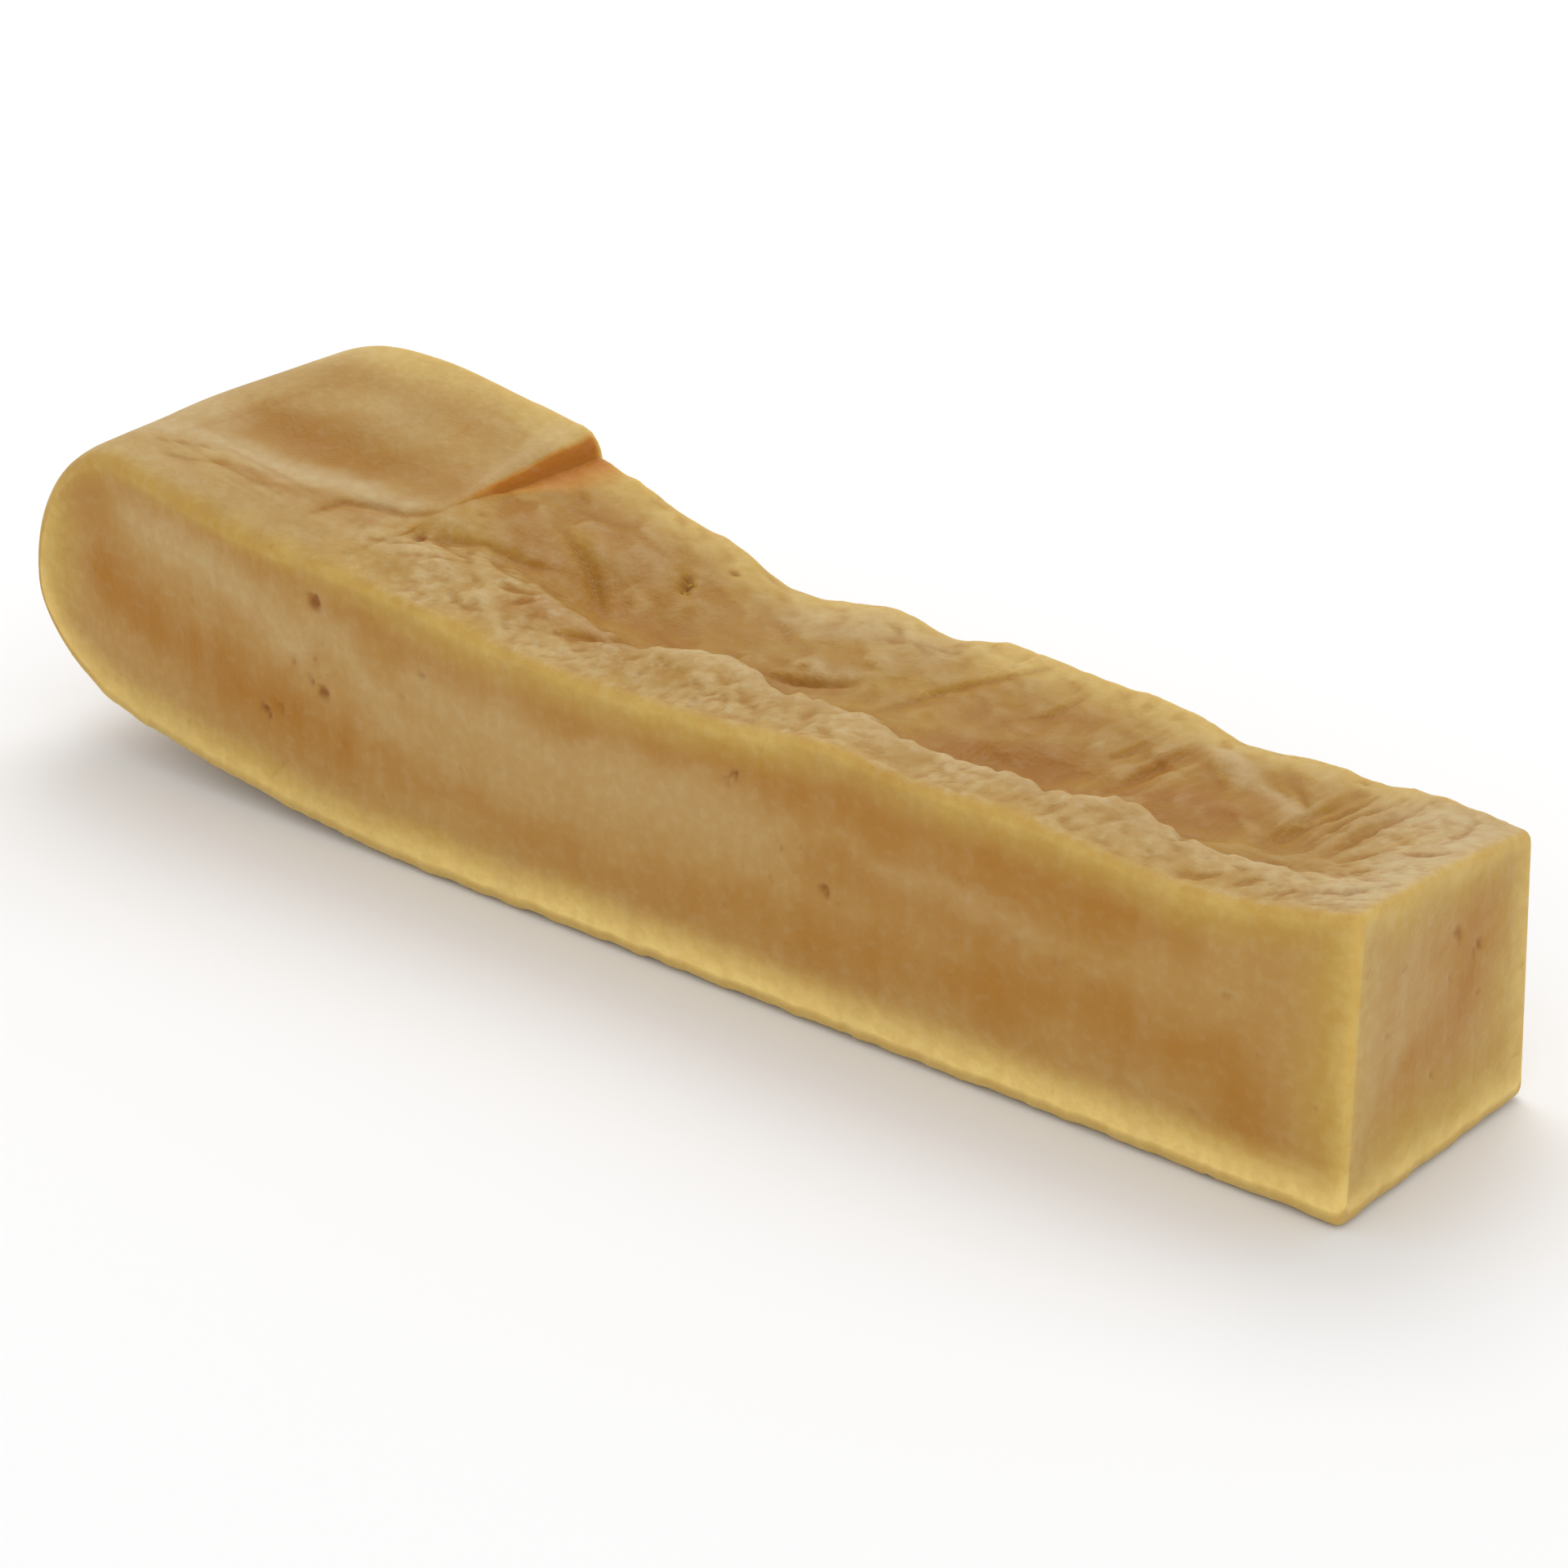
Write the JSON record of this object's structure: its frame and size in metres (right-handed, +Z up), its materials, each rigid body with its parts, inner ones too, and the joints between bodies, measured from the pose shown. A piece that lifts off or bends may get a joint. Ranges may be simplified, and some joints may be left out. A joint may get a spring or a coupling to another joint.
{
  "type": "yak cheese stick",
  "caption": "Stick of hard dried yak cheese with a rounded nose, sawn sides and a folded, wrinkled top skin; lies flat on its underside.",
  "frame": {"origin": "middle of the stick's box on the surface it lies on", "axes": "+X along the stick from the rounded nose to the sawn end, +Z up to the wrinkled skin, +Y from the long sawn side that faces the camera to the other one"},
  "size_m": [0.15, 0.028, 0.0374],
  "materials": {
    "dried_cheese": "satin, waxy and slightly see-through at the edges"
  },
  "bodies": {
    "root": {"cheese_stick": "dried_cheese"}
  },
  "joints": []
}
